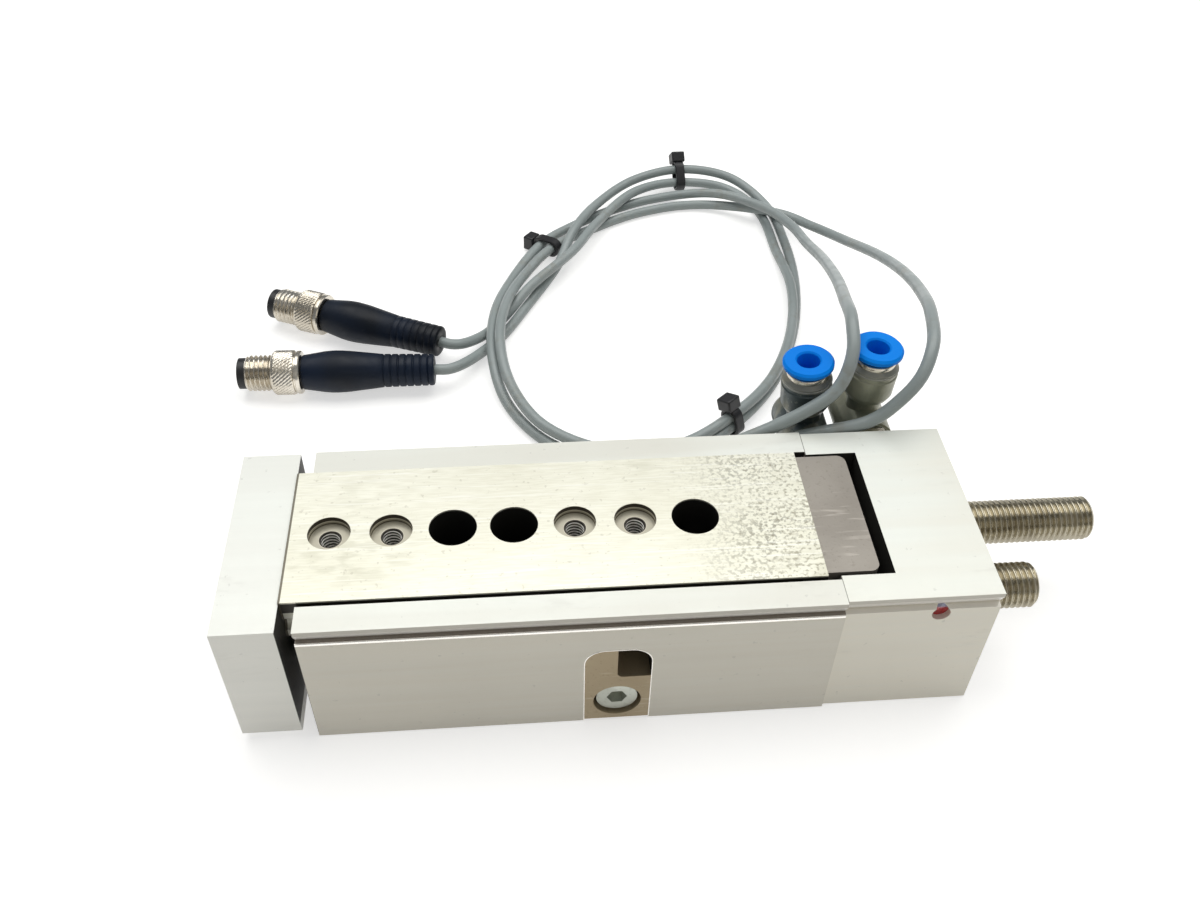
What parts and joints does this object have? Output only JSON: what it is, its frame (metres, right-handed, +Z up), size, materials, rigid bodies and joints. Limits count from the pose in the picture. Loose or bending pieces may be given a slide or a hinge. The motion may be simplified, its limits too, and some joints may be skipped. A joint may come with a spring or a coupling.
{
  "type": "pneumatic slide table",
  "caption": "Pneumatic slide table: guided steel table over an aluminium cylinder housing, with stop screws, push-in elbow fittings and coiled sensor cables.",
  "frame": {"origin": "centre of the housing's flat mounting face", "axes": "+X along the stroke towards the rear block and the stop screws (the table extends towards -X), +Y towards the side with the ports and the sensor cables, +Z up out of the mounting face, towards the table"},
  "size_m": [0.1642, 0.1751, 0.0447],
  "materials": {
    "anodised": "natural anodised, satin, with a faint drawn grain along the stroke",
    "guide_steel": "ground",
    "table_steel": "ground and finely brushed along the stroke, a little worn",
    "yoke_alloy": "natural anodised, satin",
    "dog_alloy": "sintered, matt with fine pores",
    "stop_steel": "nickel plated thread",
    "screw_steel": "zinc plated",
    "bronze": "sintered bronze",
    "seal": "soft matt rubber",
    "buffer": "polyurethane, matt",
    "lacquer": "sealing lacquer over steel",
    "sensor_black": "moulded",
    "cable_grey": "smooth cable sheath",
    "plug_black": "moulded, satin",
    "insert_black": "moulded",
    "contact_gold": "gold plated",
    "nickel": "nickel plated, bright",
    "tie_black": "moulded nylon",
    "zinc_grey": "coated zinc die casting, satin",
    "ring_blue": "moulded",
    "rod_steel": "hard, polished",
    "piston_alloy": "turned",
    "magnet": "sintered magnet",
    "cage": "moulded",
    "ball_steel": "polished balls"
  },
  "bodies": {
    "base": {"housing": "anodised", "rear_block": "anodised", "guide_rails": "guide_steel", "rod_bearings": "bronze", "rod_wipers": "seal", "fixed_stop": "dog_alloy", "fixed_stop_screw": "nickel", "rear_block_screws": "screw_steel", "duct_ball": "lacquer", "sensor_a": "sensor_black", "sensor_b": "sensor_black", "cable_a": "cable_grey", "cable_b": "cable_grey", "plug_a_body": "plug_black", "plug_a_insert": "insert_black", "plug_a_pins": "contact_gold", "plug_b_body": "plug_black", "plug_b_insert": "insert_black", "plug_b_pins": "contact_gold", "cable_ties": "tie_black", "port_studs": "nickel", "port_seals": "seal"},
    "table": {"slide_table": "table_steel", "stop_dog": "dog_alloy", "stop_dog_screws": "screw_steel", "yoke_plate": "yoke_alloy", "yoke_screws": "screw_steel", "yoke_dowels": "guide_steel", "rod_screws": "screw_steel", "piston_rods": "rod_steel", "pistons": "piston_alloy", "piston_seals": "seal", "piston_magnets": "magnet"},
    "cages": {"ball_cages": "cage", "guide_balls": "ball_steel"},
    "long_stop": {"long_stop_screw": "stop_steel", "long_stop_buffer": "buffer"},
    "short_stop": {"short_stop_screw": "stop_steel", "short_stop_buffer": "buffer"},
    "elbow_a": {"elbow_a": "zinc_grey", "elbow_a_sleeve": "nickel"},
    "elbow_b": {"elbow_b": "zinc_grey", "elbow_b_sleeve": "nickel"},
    "ring_a": {"elbow_a_ring": "ring_blue"},
    "ring_b": {"elbow_b_ring": "ring_blue"},
    "nut_a": {"plug_a_nut": "nickel"},
    "nut_b": {"plug_b_nut": "nickel"}
  },
  "joints": [
    {"name": "table_slide", "type": "slide", "parent": "base", "child": "table", "axis": [-1, 0, 0], "range_m": [0, 0.03]},
    {"name": "cage_slide", "type": "slide", "parent": "base", "child": "cages", "axis": [-1, 0, 0], "range_m": [0, 0.015]},
    {"name": "long_stop_adjust", "type": "slide", "parent": "table", "child": "long_stop", "axis": [1, 0, 0], "range_m": [0, 0.01]},
    {"name": "short_stop_adjust", "type": "slide", "parent": "base", "child": "short_stop", "axis": [1, 0, 0], "range_m": [0, 0.01]},
    {"name": "elbow_a_swivel", "type": "hinge", "parent": "base", "child": "elbow_a", "pos_m": [0.0463, 0.027, 0.0205], "axis": [0, -1, 0], "range_deg": [0, 175]},
    {"name": "elbow_b_swivel", "type": "hinge", "parent": "base", "child": "elbow_b", "pos_m": [0.0568, 0.027, 0.023], "axis": [0, 1, 0], "range_deg": [0, 177]},
    {"name": "ring_a_push", "type": "slide", "parent": "elbow_a", "child": "ring_a", "axis": [0.0698, 0, -0.9976], "range_m": [0, 0.0005], "stiffness_N_per_m": 2000},
    {"name": "ring_b_push", "type": "slide", "parent": "elbow_b", "child": "ring_b", "axis": [-0.0349, 0, -0.9994], "range_m": [0, 0.0005], "stiffness_N_per_m": 2000},
    {"name": "nut_a_turn", "type": "hinge", "parent": "base", "child": "nut_a", "pos_m": [-0.05604, 0.09207, 0.0049], "axis": [0.9205, -0.3907, 0], "continuous": true},
    {"name": "nut_b_turn", "type": "hinge", "parent": "base", "child": "nut_b", "pos_m": [-0.0598, 0.06979, 0.0049], "axis": [0.9997, -0.0262, 0], "continuous": true}
  ],
  "couplings": [
    {"joint": "cage_slide", "follows": "table_slide", "ratio": 0.5}
  ]
}
